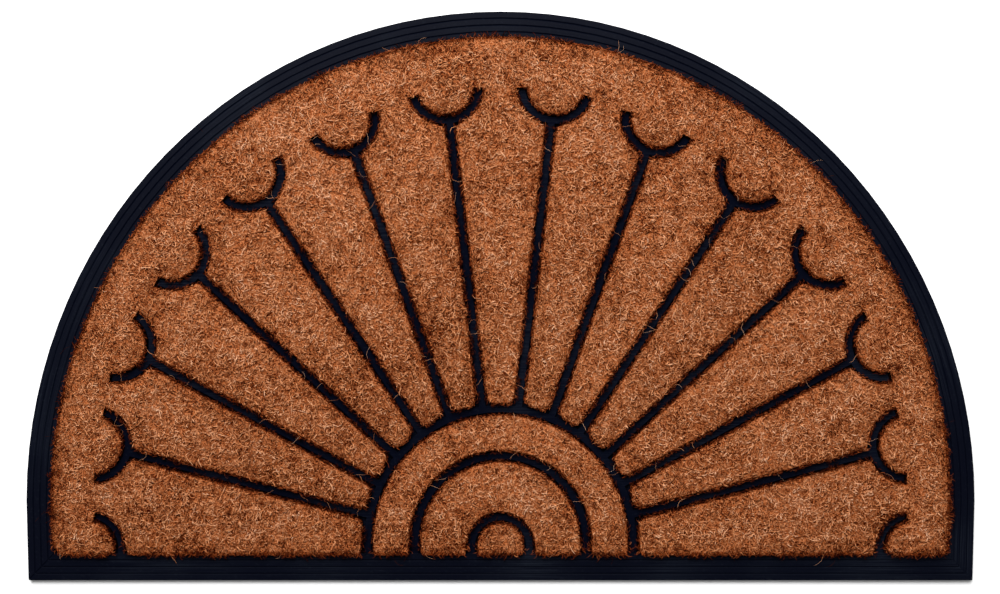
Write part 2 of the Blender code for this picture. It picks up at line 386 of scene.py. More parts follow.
def triangle_tree(corners):
    """A search tree of these triangles."""
    numbers = np.arange(len(corners) * 3).reshape(-1, 3)
    return BVHTree.FromPolygons(corners.reshape(-1, 3).tolist(), numbers.tolist())


def edge_tree(nodes):
    """A search tree of the slopes and walls of these nodes."""
    corners, normals = node_triangles(nodes)
    steep = np.abs(unit(normals)[:, 2]) < 0.9
    return triangle_tree(corners[steep])


def to_edge(places, edges):
    """How far each place is from the nearest edge of the pile, and which way that is."""
    nearest = np.array([edges.find_nearest(place)[0] for place in places.tolist()])
    away = nearest - places
    away[:, 2] = 0
    return np.linalg.norm(away, axis=1), unit(away)


def scatter(ground, count, rng):
    """Random places on the ground, as (points, normals)."""
    corners, normals, areas = ground
    chosen = np.searchsorted(np.cumsum(areas) / areas.sum(), rng.random(count))
    chosen = np.minimum(chosen, len(areas) - 1)
    first, second = rng.random((2, count, 1))
    folded = first + second > 1
    first = np.where(folded, 1 - first, first)
    second = np.where(folded, 1 - second, second)
    a, b, c = (corners[chosen, i] for i in range(3))
    return a + (b - a) * first + (c - a) * second, normals[chosen]


# How far fibres turn in all and how much more at each step, in radians, and how far their ends droop
CURL = 1.5
WAVER = 0.35
DROOP = 0.45

# Over what distance neighbours lean alike, and how much single fibres differ from that, in radians
LEAN_PATCH = 0.006
LEAN_SPREAD = 1.2

# The pile's kinds of fibre: bends between the ends, how far they run, how far they rise, thickness,
# and how light they are
SHORT = (1, (0.0016, 0.0042), (0.0010, 0.0023), 1.15, 0.555)
CURVED = (2, (0.0030, 0.0080), (0.0012, 0.0025), 1.0, 0.515)
LONG = (4, (0.0060, 0.0130), (0.0016, 0.0028), 0.8, 0.455)
WISP = (4, (0.0070, 0.0150), (0.0004, 0.0014), 0.27, 0.75)

# How wide tufts and clumps are, and how far the highest of them stand over the lowest
TUFT = (0.0036, 0.0017)
CLUMP = (0.010, 0.0011)

# How much lighter the highest tufts are than the lowest, as painted shade on the lower ones, and how uneven
# the fibres are
TUFT_PAINTED_SHADE = 0.42
UNEVENNESS = 0.22

# How deep the fibres' roots lie, and how far their tips may stand over the solids' top
ROOT_DEPTH = 0.0017
TIP_RISE = 0.0012

# Over what distance the pile's top bends down at its edge, over what distance the overhang varies,
# and what shares of its mean it has at the least and beyond that
EDGE_BLEND = 0.0010
RAGGED_PATCH = 0.007
RAGGED_SHARES = (0.15, 1.7)

# How near to an edge fibres lean out over it, how strongly, and how far single ones stick out more
LEAN_REACH = 0.003
EDGE_LEAN = 0.7
STICK_OUT = 0.0006

# Where the pile counts as beside the border, how much less steeply it falls there, and over what
# distance it bends down
BORDER_REACH = 0.008
BORDER_SLOPE = 0.5
BORDER_BLEND = 0.0020

# How wide the pile's shoulder is, and what share of its overhang its top moves over the border
SHOULDER_WIDTH = 0.003
BORDER_SPREAD = 0.42

# Painted shade near the edges: over what distance from a channel and from the border the fibres are darker,
# and by how much
CHANNEL_SHADE = (0.009, 0.28)
BORDER_SHADE = (0.016, 0.26)

# The fringe: what shares of the overhang it reaches, how far its fibres run beside curved ones,
# how deep they lie and how unevenly, how much deeper their roots lie, and how light they are
FRINGE_REACH = (0.3, 1.2)
FRINGE_RUN = 0.6
FRINGE_DEPTH = 0.0010
FRINGE_UNEVEN = 0.0002
FRINGE_ROOT = 0.0007
FRINGE_TONE = 0.42

# How deep the wisps' roots lie under the solids' top, and how uneven their ways and their tones are
WISP_DEPTH = (0.0004, 0.0012)
WISP_ASIDE = 0.9
WISP_TONE = 0.15

# How much thinner or thicker than their kind fibres are: on top, in the fringe, and wisps
THICKNESS_SHARES = ((0.65, 1.3), (0.65, 1.2), (0.7, 1.2))

# How far the normals of the pile's top and of its shoulders rise
TOP = (0.95, 1.01)
SHOULDER = (0.50, 0.95)


def lean_ways(places, normals, rng):
    """The way each fibre leans, along the pile's surface. Neighbours lean alike."""
    first = unit(np.cross(normals, [0.0, 1.0, 0.001]))
    second = np.cross(normals, first)
    angle = patches(places, LEAN_PATCH, rng) * 4 * math.pi + rng.normal(0, LEAN_SPREAD, len(places))
    return np.cos(angle)[:, None] * first + np.sin(angle)[:, None] * second


def fibre_paths(normals, lean, rise, run, bends, rng):
    """How fibres go from their roots: up, over and round in a curl, as (fibre, point, xyz).

    rise and run are how far each fibre goes along its normal and across it.
    bends is how many points lie between the ends.
    """
    count = len(normals)
    steps = bends + 1
    beside = np.cross(normals, lean)
    turn = rng.normal(0, CURL, count) / steps
    heading = -turn * bends / 2
    droop = rng.random(count) ** 2 * DROOP
    ahead = aside = np.zeros(count)
    path = [np.zeros((count, 3))]
    for step in range(1, steps + 1):
        ahead = ahead + np.cos(heading) * run / steps
        aside = aside + np.sin(heading) * run / steps
        heading = heading + turn + rng.normal(0, WAVER, count)
        share = step / steps
        risen = rise * (math.sin(min(1.0, share * 1.5) * math.pi / 2) - droop * share**3)
        path.append(normals * risen[:, None] + lean * ahead[:, None] + beside * aside[:, None])
    return np.stack(path, axis=1)


def keep_off_channels(paths, outwards, allowed, rng):
    """Turns or shortens paths that go further towards the nearest edge than allowed."""
    out = (paths * outwards[:, None]).sum(2)
    turned = (out.max(1) > allowed) & (rng.random(len(paths)) < 0.5)
    paths = np.where(turned[:, None, None], paths - 2 * out[..., None] * outwards[:, None], paths)
    furthest = (paths * outwards[:, None]).sum(2).max(1)
    paths[:, :, :2] *= np.minimum(1, allowed / np.maximum(furthest, 1e-9))[:, None, None]
    return paths


def uneven_tones(count, rng):
    """How much lighter or darker than the rest each fibre is. Few are much lighter."""
    return UNEVENNESS * np.minimum(rng.standard_normal(count), 1.0 + 0.3 * rng.random(count))


def from_border(places):
    """How far each place is from the border."""
    return np.minimum(inset_from_sides(places), places[:, 1] - FRONT_Y) - BORDER_WIDTH


def towards_border(places):
    """The way from each place to the nearest part of the border."""
    rise = [from_border(places + step) - from_border(places - step) for step in np.eye(3) * 0.0001]
    return -unit(np.stack(rise, axis=1))


def edge_drop(past, places, settings):
    """How far the pile's surface lies under its top, at a distance past the edge of that top."""
    at_border = (from_border(places) < BORDER_REACH)[:, None]
    slope = settings.edge_slope * np.where(at_border, BORDER_SLOPE, 1.0)
    blend = np.where(at_border, BORDER_BLEND, EDGE_BLEND)
    return slope * blend * np.logaddexp(0, past / blend)


def overhang(places, settings):
    """The pile's ragged reach over a channel or the border beside each place."""
    least, more = RAGGED_SHARES
    ragged = least + more * patches(places, RAGGED_PATCH, np.random.default_rng(settings.seed))
    at_border = from_border(places) < BORDER_REACH
    return settings.overhang * ragged + settings.border_overhang * at_border


def spread_over_border(places, reach, outwards, settings):
    """Moves places near the border out over it, as (places, reach), so that the top carries on."""
    beside = from_border(places) < reach + SHOULDER_WIDTH
    near = np.clip(1 - reach / BORDER_REACH, 0, 1) * beside
    moved = BORDER_SPREAD * overhang(places, settings) * near
    return places + outwards * moved[:, None], reach - moved


def painted_edge_shade(places, reach):
    """How much darker each fibre is painted, as shade, because it stands near a channel or the border."""
    beside = np.clip(1 - reach / CHANNEL_SHADE[0], 0, 1)
    outside = np.clip(1 - from_border(places) / BORDER_SHADE[0], 0, 1)
    return CHANNEL_SHADE[1] * beside + BORDER_SHADE[1] * outside


def pile_fibres(ground, edges, count, kind, settings, rng):
    """Fibres that stand on the pile's top, as (lines, radii, tones)."""
    bends, runs, rises, thickness, light = kind
    places, normals = scatter(ground, count, rng)
    reach, outwards = to_edge(places, edges)
    places, reach = spread_over_border(places, reach, outwards, settings)
    lean = lean_ways(places, normals, rng)
    lean = unit(lean + EDGE_LEAN * outwards * (reach < LEAN_REACH)[:, None])
    tuft = patches(places, TUFT[0], rng) - 0.5
    clump = patches(places, CLUMP[0], rng) - 0.5
    paths = fibre_paths(normals, lean, rng.uniform(*rises, count), rng.uniform(*runs, count), bends, rng)
    allowed = reach + overhang(places, settings) + rng.exponential(STICK_OUT, count)
    paths = keep_off_channels(paths, outwards, allowed, rng)
    past = (paths * outwards[:, None]).sum(2) - reach[:, None]
    lines = places[:, None] + paths
    lines[:, :, 2] += (tuft * TUFT[1] + clump * CLUMP[1] - ROOT_DEPTH)[:, None]
    lines[:, :, 2] -= edge_drop(past, places, settings)
    lines[:, :, 2] = np.clip(lines[:, :, 2], WALL_LOW, PILE_TOP + TIP_RISE)
    # Painted shade: fibres on lower tufts and near a channel or the border get darker tones
    tone = light + uneven_tones(count, rng) + TUFT_PAINTED_SHADE * tuft - painted_edge_shade(places, reach)
    radii = settings.thickness * thickness * rng.uniform(*THICKNESS_SHARES[0], count)
    return lines, radii, tone


def fringe_fibres(ground, count, settings, rng):
    """Fibres that grow from the pile's shoulders and hang over the channels, as (lines, radii, tones)."""
    bends, runs, _, thickness, _ = CURVED
    places, normals = scatter(ground, count, rng)
    outwards = unit(normals * [1, 1, 0])
    along = np.cross(outwards, [0, 0, 1]) * rng.choice([-1, 1], count)[:, None]
    reach = overhang(places, settings) * rng.uniform(*FRINGE_REACH, count)
    paths = fibre_paths(outwards, along, reach, rng.uniform(*runs, count) * FRINGE_RUN, bends, rng)
    past = PILE_TOP - places[:, 2:] + (paths * outwards[:, None]).sum(2)
    under = rng.uniform(0, FRINGE_DEPTH, (count, 1)) + rng.normal(0, FRINGE_UNEVEN, past.shape)
    under[:, 0] += FRINGE_ROOT
    lines = places[:, None] + paths
    lines[:, :, 2] = np.maximum(PILE_TOP - edge_drop(past, places, settings) - under, WALL_LOW)
    tone = FRINGE_TONE + uneven_tones(count, rng)
    radii = settings.thickness * thickness * rng.uniform(*THICKNESS_SHARES[1], count)
    return lines, radii, tone


def wisps(ground, count, settings, rng):
    """Thin pale fibres that reach from the pile's edge across the channels, as (lines, radii, tones)."""
    bends, runs, rises, thickness, light = WISP
    places, normals = scatter(ground, count, rng)
    places[:, 2] = PILE_TOP - rng.uniform(*WISP_DEPTH, count)
    outwards = unit(normals * [1, 1, 0])
    aside = np.cross(outwards, [0, 0, 1])
    lean = unit(outwards + aside * rng.normal(0, WISP_ASIDE, count)[:, None])
    upwards = np.tile([0.0, 0.0, 1.0], (count, 1))
    paths = fibre_paths(upwards, lean, rng.uniform(*rises, count), rng.uniform(*runs, count), bends, rng)
    radii = settings.thickness * thickness * rng.uniform(*THICKNESS_SHARES[2], count)
    return places[:, None] + paths, radii, light + rng.normal(0, WISP_TONE, count)


# The kinds of socket that the node groups have
FLOAT = "NodeSocketFloat"
COLOUR = "NodeSocketColor"
VECTOR = "NodeSocketVector"


def connect(tree, node, links):
    """Sets a node's inputs. links holds (input, socket or value)."""
    for name, value in links:
        if isinstance(value, bpy.types.NodeSocket):
            tree.links.new(value, node.inputs[name])
        else:
            node.inputs[name].default_value = value


def add_node(tree, kind, links=(), **values):
    """A node with these inputs and settings."""
    node = tree.nodes.new(kind)
    for name, value in values.items():
        setattr(node, name, value)
    connect(tree, node, links)
    return node


def place_group(tree, name, inputs, outputs, build):
    """Places a node group in a tree and gives its outputs. The first time, build fills the group.

    inputs holds (name, kind, socket or value), and outputs holds (name, kind). build gets the group
    and its input sockets, and gives the sockets that lead to its outputs.
    """
    group = bpy.data.node_groups.get(name)
    if not group:
        group = bpy.data.node_groups.new(name, "ShaderNodeTree")
        for socket, kind, _ in inputs:
            group.interface.new_socket(socket, in_out="INPUT", socket_type=kind)
        for socket, kind in outputs:
            group.interface.new_socket(socket, in_out="OUTPUT", socket_type=kind)
        given = group.nodes.new("NodeGroupInput")
        made = build(group, given.outputs)
        result = group.nodes.new("NodeGroupOutput")
        for (socket, _), value in zip(outputs, made):
            group.links.new(value, result.inputs[socket])
    links = [(socket, value) for socket, _, value in inputs]
    return add_node(tree, "ShaderNodeGroup", links, node_tree=group).outputs


def calculate(tree, operation, first, second=0.0, third=0.0, clamp=False):
    """The result of a sum on sockets or numbers."""
    links = [(0, first), (1, second), (2, third)]
    return add_node(tree, "ShaderNodeMath", links, operation=operation, use_clamp=clamp).outputs[0]


def scaled(tree, value, factor, added, clamp=False):
    """A socket's value times factor, plus added."""
    return calculate(tree, "MULTIPLY_ADD", value, factor, added, clamp)


def combined(tree, operation, first, second):
    """The result of a sum on two vectors."""
    links = [(0, first), (1, second)]
    return add_node(tree, "ShaderNodeVectorMath", links, operation=operation).outputs["Vector"]


def ranged(tree, value, least, most, low=0.0, high=1.0, smooth=False):
    """The value, spread so that least becomes low and most becomes high, and held between them."""
    links = [("Value", value), ("From Min", least), ("From Max", most), ("To Min", low), ("To Max", high)]
    kind = "SMOOTHSTEP" if smooth else "LINEAR"
    return add_node(tree, "ShaderNodeMapRange", links, interpolation_type=kind).outputs["Result"]


def noise(tree, place, scale, detail, roughness=0.5):
    """Noise with about this many cells for each metre."""
    links = [("Vector", place), ("Scale", scale), ("Detail", detail), ("Roughness", roughness)]
    return add_node(tree, "ShaderNodeTexNoise", links).outputs["Fac"]


def object_place(tree):
    """Places on the mat, in metres."""
    return add_node(tree, "ShaderNodeTexCoord").outputs["Object"]


def parts_of(tree, vector):
    """A vector's X, Y and Z."""
    return add_node(tree, "ShaderNodeSeparateXYZ", [("Vector", vector)]).outputs


def mixed(tree, share, first, second):
    """A colour between two colours."""
    links = [(0, share), (6, (*first, 1.0)), (7, (*second, 1.0))]
    return add_node(tree, "ShaderNodeMix", links, data_type="RGBA").outputs[2]


def bumpy(tree, height, strength, distance):
    """Normals that follow a height."""
    links = [("Height", height), ("Strength", strength), ("Distance", distance)]
    return add_node(tree, "ShaderNodeBump", links).outputs["Normal"]


def blotches(tree, scale, least, most):
    """Soft blotches from 0 to 1, shared by the rubber's dust and the coir's shade."""

    def build(group, given):
        spots = noise(group, object_place(group), given["Scale"], 3.0)
        return [ranged(group, spots, given["Least"], given["Most"], smooth=True)]

    inputs = [("Scale", FLOAT, scale), ("Least", FLOAT, least), ("Most", FLOAT, most)]
    return place_group(tree, "Blotches", inputs, [("Value", FLOAT)], build)["Value"]


# Sizes of the coir's mottling, in cells for each metre, and how strongly each one shades it
MOTTLING = ((160.0, 0.52), (60.0, 0.42), (24.0, 0.32), (6.0, 0.16))


def mottling(tree):
    """Lighter and darker patches of the coir, of several sizes, as a value round 0."""

    def build(group, _):
        place = object_place(group)
        total = -0.5 * sum(strength for _, strength in MOTTLING)
        for scale, strength in MOTTLING:
            total = scaled(group, noise(group, place, scale, 1.0), strength, total)
        return [total]

    return place_group(tree, "Coir Mottling", [], [("Value", FLOAT)], build)["Value"]


# Painted depth shade: over what depth under the top the pile darkens, how its painted shade falls off, what
# light is left at the bottom, and how much redder it gets there
PILE_DEPTH = 0.0034
DEPTH_CURVE = 1.55
DEPTH_LIGHT = 0.08
DEPTH_RED = 1.4


def painted_depth_shade(tree, colour, top):
    """The colour with painted shade, darker and redder the further it lies under top."""

    def build(group, given):
        height = parts_of(group, object_place(group))["Z"]
        share = ranged(group, calculate(group, "SUBTRACT", given["Top"], height), PILE_DEPTH, 0.0)
        light = ranged(group, calculate(group, "POWER", share, DEPTH_CURVE), 0.0, 1.0, DEPTH_LIGHT)
        gamma = scaled(group, light, -DEPTH_RED, 1 + DEPTH_RED)
        redder = add_node(group, "ShaderNodeGamma", [("Color", given["Colour"]), ("Gamma", gamma)])
        links = [(0, redder.outputs["Color"]), ("Scale", light)]
        return [add_node(group, "ShaderNodeVectorMath", links, operation="SCALE").outputs["Vector"]]

    inputs = [("Colour", COLOUR, colour), ("Top", FLOAT, top)]
    return place_group(tree, "Pile Painted Depth Shade", inputs, [("Colour", COLOUR)], build)["Colour"]


# How strongly a stroke may bend either way, and the shares of its half width between which it fades
STROKE_BEND = 250.0
STROKE_EDGE = (1.15, 0.45)


def strokes(tree, shift, scale, half_width):
    """Short curved strokes, one in each random cell: how much of a stroke is here, and its tone."""

    def build(group, given):
        place = combined(group, "ADD", object_place(group), given["Shift"])
        links = [("Vector", place), ("Scale", given["Scale"])]
        cells = add_node(group, "ShaderNodeTexVoronoi", links, voronoi_dimensions="2D").outputs
        draws = add_node(group, "ShaderNodeSeparateColor", [("Color", cells["Color"])]).outputs
        offset = combined(group, "SUBTRACT", place, cells["Position"])
        angle = calculate(group, "MULTIPLY", draws["Red"], 2 * math.pi)
        links = [("Vector", offset), ("Angle", angle)]
        turned = add_node(group, "ShaderNodeVectorRotate", links, rotation_type="Z_AXIS")
        sides = parts_of(group, turned.outputs["Vector"])
        bend = scaled(group, draws["Blue"], 2 * STROKE_BEND, -STROKE_BEND)
        bend = calculate(group, "MULTIPLY", calculate(group, "MULTIPLY", sides["X"], sides["X"]), bend)
        across = calculate(group, "ABSOLUTE", calculate(group, "ADD", sides["Y"], bend))
        share = calculate(group, "DIVIDE", across, given["Half Width"])
        return [ranged(group, share, *STROKE_EDGE, smooth=True), draws["Green"]]

    inputs = [("Shift", VECTOR, shift), ("Scale", FLOAT, scale), ("Half Width", FLOAT, half_width)]
    outputs = place_group(tree, "Strokes", inputs, [("Cover", FLOAT), ("Tone", FLOAT)], build)
    return outputs["Cover"], outputs["Tone"]


# The layers of strokes on the beds, from the lowest up: cells for each metre, and half their width,
# and how far each layer is shifted from the one below
STROKE_LAYERS = (
    (340.0, 0.00050),
    (420.0, 0.00034),
    (300.0, 0.00042),
    (460.0, 0.00028),
    (360.0, 0.00036),
    (520.0, 0.00024),
)
LAYER_SHIFT = (0.137, 0.071)


def felt(tree):
    """Strokes in layers, each over the last: the tone of the topmost one, and its height."""

    def build(group, _):
        tone = height = 0.0
        for number, (scale, half_width) in enumerate(STROKE_LAYERS, 1):
            shift = (LAYER_SHIFT[0] * number, LAYER_SHIFT[1] * number, 0.0)
            cover, own_tone = strokes(group, shift, scale, half_width)
            level = number / len(STROKE_LAYERS)
            tone = add_node(group, "ShaderNodeMix", [(0, cover), (2, tone), (3, own_tone)]).outputs[0]
            height = add_node(group, "ShaderNodeMix", [(0, cover), (2, height), (3, level)]).outputs[0]
        return [tone, height]

    outputs = place_group(tree, "Felt", [], [("Tone", FLOAT), ("Height", FLOAT)], build)
    return outputs["Tone"], outputs["Height"]


def new_material(name):
    """A material with only a Principled shader, as (material, its tree)."""
    material = bpy.data.materials.new(name)
    material.use_nodes = True
    return material, material.node_tree


def set_shader(tree, *links):
    """Sets the Principled shader's inputs."""
    connect(tree, tree.nodes["Principled BSDF"], links)


# The rubber's grain along and across the border and its pores, in cells for each metre, and its
# patches of dust and its specks: their size, and the noise at which they begin and are full
GRAIN = (14.0, 1500.0, 1.0)
PORES = 1600.0
DUST_PATCHES = (9.0, 0.40, 0.70)
SPECKS = (420.0, 0.58, 0.70)

# In which part of the grain dust clings, and how much of dust and of specks shows
DUSTY_GRAIN = (0.42, 0.72)
DUST_SHARE = 0.55
SPECK_SHARE = 0.10

# How rough the border is along its grain, how much rougher the lines between the coir are, and how
# strong and deep the grain is
BORDER_ROUGH = (0.50, 0.74)
LINES_ROUGHER = 0.40
GRAIN_BUMP = (0.35, 0.00015)


def rubber_material(settings):
    """Black moulded rubber with a drawn grain along its border, dust and fine pores."""
    material, tree = new_material("black_rubber")
    grain_map = add_node(tree, "ShaderNodeUVMap", uv_map=UV_GRAIN).outputs["UV"]
    drawn = add_node(tree, "ShaderNodeMapping", [("Vector", grain_map), ("Scale", GRAIN)])
    streaks = noise(tree, drawn.outputs["Vector"], 1.0, 4.0, 0.6)
    pores = noise(tree, object_place(tree), PORES, 3.0)
    specks = calculate(tree, "MULTIPLY", blotches(tree, *SPECKS), SPECK_SHARE)
    dusty = calculate(tree, "MULTIPLY", blotches(tree, *DUST_PATCHES), ranged(tree, streaks, *DUSTY_GRAIN))
    dusty = scaled(tree, dusty, DUST_SHARE, specks, clamp=True)
    inwards = parts_of(tree, grain_map)["Y"]
    matt = ranged(tree, inwards, BORDER_WIDTH - 0.0002, BORDER_WIDTH + 0.0008, 0.0, LINES_ROUGHER)
    rough = ranged(tree, streaks, 0.0, 1.0, *BORDER_ROUGH)
    height = scaled(tree, pores, 0.5, streaks)
    set_shader(
        tree,
        ("Base Color", mixed(tree, dusty, settings.colour, settings.dust)),
        ("Roughness", calculate(tree, "ADD", rough, matt, clamp=True)),
        ("Specular IOR Level", 0.035),
        ("Normal", bumpy(tree, height, *GRAIN_BUMP)),
    )
    return material


def coir_ramp(tree, settings, share):
    """The coir's colours from dark to straw."""
    ramp = add_node(tree, "ShaderNodeValToRGB", [("Fac", share)])
    elements = ramp.color_ramp.elements
    elements.remove(elements[1])
    elements[0].color = (*settings.dark, 1.0)
    for position, colour in ((0.42, settings.brown), (0.76, settings.tan), (1.0, settings.straw)):
        elements.new(position).color = (*colour, 1.0)
    return ramp.outputs["Color"]


# The beds' share from dark to straw, how much their strokes change it, how far over their tops the painted
# depth shade begins, and how strong and deep the strokes are
BED_COLOUR = 0.07
BED_STROKES = 0.75
BED_SHADE = 0.0006
BED_BUMP = (0.8, 0.0012)


def bed_material(settings):
    """The matted coir that shows between the fibres, darkened with painted depth shade."""
    material, tree = new_material("coir_bed")
    tone, height = felt(tree)
    share = scaled(tree, tone, BED_STROKES, mottling(tree))
    colour = coir_ramp(tree, settings, calculate(tree, "ADD", share, BED_COLOUR, clamp=True))
    set_shader(
        tree,
        # Painted shade: the bed's colour darkens and reddens with depth under the pile's top
        ("Base Color", painted_depth_shade(tree, colour, PILE_TOP - settings.bed_depth + BED_SHADE)),
        ("Roughness", 0.9),
        ("Specular IOR Level", 0.02),
        ("Normal", bumpy(tree, height, *BED_BUMP)),
    )
    return material


# Pale and dim blotches in the pile: their size, the noise at which they begin and are full, and how
# much lighter they are, and how much lighter fibres are painted at the tip than at the root, as painted
# shade
PALE_BLOTCHES = (105.0, 0.62, 0.74)
PALE_TONE = 0.16
DIM_BLOTCHES = (150.0, 0.54, 0.72)
DIM_TONE = -0.50
ROOT_TO_TIP_PAINTED_SHADE = 0.14


def fibre_material(settings):
    """Single coir fibres, each of its own tone, with painted shade that darkens them towards the root and
    with depth.
    """
    material, tree = new_material("coir_fibre")
    facts = add_node(tree, "ShaderNodeAttribute", attribute_name=FIBRE_FACTS)
    parts = parts_of(tree, facts.outputs["Vector"])
    # Painted shade: each fibre darkens from its tip towards its root
    own = calculate(tree, "ADD", parts["X"], -ROOT_TO_TIP_PAINTED_SHADE / 2)
    share = scaled(tree, parts["Y"], ROOT_TO_TIP_PAINTED_SHADE, own)
    share = calculate(tree, "ADD", share, mottling(tree), clamp=True)
    share = scaled(tree, blotches(tree, *PALE_BLOTCHES), PALE_TONE, share)
    share = scaled(tree, blotches(tree, *DIM_BLOTCHES), DIM_TONE, share, clamp=True)
    set_shader(
        tree,
        # Painted shade: the fibres' colour darkens and reddens with depth under the pile's top
        ("Base Color", painted_depth_shade(tree, coir_ramp(tree, settings, share), PILE_TOP + 0.0001)),
        ("Roughness", 0.62),
        ("Specular IOR Level", 0.03),
    )
    return material


class DOORMAT_OT_rubber(bpy.types.Operator):
    """Round the moulding's edges and give it its grain"""

    bl_idname = "doormat.rubber"
    bl_label = "Rubber Moulding"

    def execute(self, context):
        settings = context.scene.doormat_rubber
        piece = merged_copy(RUBBER_NODE, "rubber_mat", dissolve=True)
        bpy.ops.object.mode_set(mode="EDIT")
        bpy.ops.mesh.select_all(action="DESELECT")
        bpy.ops.mesh.select_mode(type="EDGE")
        bpy.ops.mesh.edges_select_sharp(sharpness=math.radians(25))
        bpy.ops.mesh.bevel(offset=settings.edge_rounding, segments=2, clamp_overlap=False)
        bpy.ops.object.mode_set(mode="OBJECT")
        bpy.ops.object.shade_smooth_by_angle(angle=math.radians(40))
        piece.modifiers.new("Normals", "WEIGHTED_NORMAL").keep_sharp = True
        bpy.ops.object.modifier_apply(modifier="Normals")
        add_grain_map(piece)
        finish_piece(piece, rubber_material(settings))
        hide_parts(RUBBER_NODE)
        return {"FINISHED"}


class DOORMAT_OT_coir_beds(bpy.types.Operator):
    """Make the beds that the pile grows from"""

    bl_idname = "doormat.coir_beds"
    bl_label = "Coir Beds"

    def execute(self, context):
        settings = context.scene.doormat_coir
        material = bed_material(settings)
        for node in COIR_NODES:
            piece = merged_copy(node, f"{node}_bed", dissolve=False)
            bpy.ops.object.mode_set(mode="EDIT")
            bpy.ops.mesh.select_all(action="SELECT")
            bpy.ops.transform.shrink_fatten(value=-BED_GAP)
            bpy.ops.object.mode_set(mode="OBJECT")
            points = mesh_points(piece.data)
            low = points[:, 2] < WALL_LOW / 2 + BED_FLOOR / 2
            top = points[:, 2] > PILE_TOP - 2 * BED_GAP
            rim = ~top & (points[:, 2] > WALL_LOW)
            points[low, 2] = BED_FLOOR
            points[top, 2] = PILE_TOP - settings.bed_depth
            points[rim, 2] = PILE_TOP - settings.bed_depth - BED_RIM_DROP
            outer = rim & (from_border(points) < BED_OUTER_RIM)
            points[outer] += BED_REACH * towards_border(points[outer])
            set_all(piece.data.vertices, "co", points)
            piece.data.update()
            bpy.ops.object.shade_smooth_by_angle(angle=math.radians(25))
            finish_piece(piece, material)
            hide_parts(node)
        return {"FINISHED"}


class DOORMAT_OT_coir_pile(bpy.types.Operator):
    """Grow the pile, fibre by fibre"""

    bl_idname = "doormat.coir_pile"
    bl_label = "Coir Pile"

    def execute(self, context):
        settings = context.scene.doormat_coir
        rng = np.random.default_rng(settings.seed + 1)
        material = fibre_material(settings)
        edges = edge_tree(COIR_NODES)
        counts = settings.short_count, settings.curved_count, settings.long_count
        totals = [pile_ground([node], *TOP)[2].sum() for node in COIR_NODES]
        large = totals[0] / sum(totals)
        for name, nodes, share, parts in (
            ("coir_pile_sunburst", COIR_NODES[:1], large, 5),
            ("coir_pile_rings", COIR_NODES[1:], 1 - large, 1),
        ):
            top = pile_ground(nodes, *TOP)
            shoulders = pile_ground(nodes, *SHOULDER)
            kinds = [
                pile_fibres(top, edges, int(count * share), kind, settings, rng)
                for count, kind in zip(counts, (SHORT, CURVED, LONG))
            ]
            kinds.append(fringe_fibres(shoulders, int(settings.fringe_count * share), settings, rng))
            kinds.append(wisps(shoulders, int(settings.wisp_count * share), settings, rng))
            # Each part holds the fibres that stand in one slice round the middle of the front
            cut = []
            for made in kinds:
                x, y, _ = made[0].mean(1).T
                slices = np.array_split(np.argsort(np.arctan2(y - FRONT_Y, x)), parts)
                cut.append([[values[chosen] for values in made] for chosen in slices])
            for part in range(parts):
                groups = [strand_arrays(*kind[part]) for kind in cut]
                finish_piece(join_strands(f"{name}_{part + 1}", groups), material)
        return {"FINISHED"}


# Loose fibres that show in the photo: X, height above the straight edge, heading, turn at each step
# in degrees, and length
SEEN_STRAYS = (
    (-0.3610, 0.0580, 205, 6, 0.018),
    (-0.2380, 0.3600, 160, -9, 0.013),
    (-0.1530, 0.4280, 110, 8, 0.011),
    (-0.0860, 0.0190, 285, 7, 0.012),
    (0.2690, 0.0190, 265, -4, 0.012),
    (-0.3450, 0.1880, 190, 5, 0.012),
    (0.0310, 0.3655, 358, -3, 0.012),
    (0.0320, 0.3530, 345, -2, 0.012),
    (-0.1150, 0.2400, 300, 5, 0.014),
)

# Strays: how many points each has, how far in from the outline they begin and how far round it,
# how long a step is, how much they turn at each and how unevenly, in radians, how thick they are
# beside the pile's fibres, and how light
STRAY_POINTS = 11
STRAY_INSET = 0.023
STRAY_ROUND = 0.35
STRAY_STEP = (0.0006, 0.0014)
STRAY_TURN = 0.22
STRAY_WAVER = 0.10
STRAY_THICKNESS = (0.35, 0.60)
STRAY_LIGHT = (0.60, 0.95)


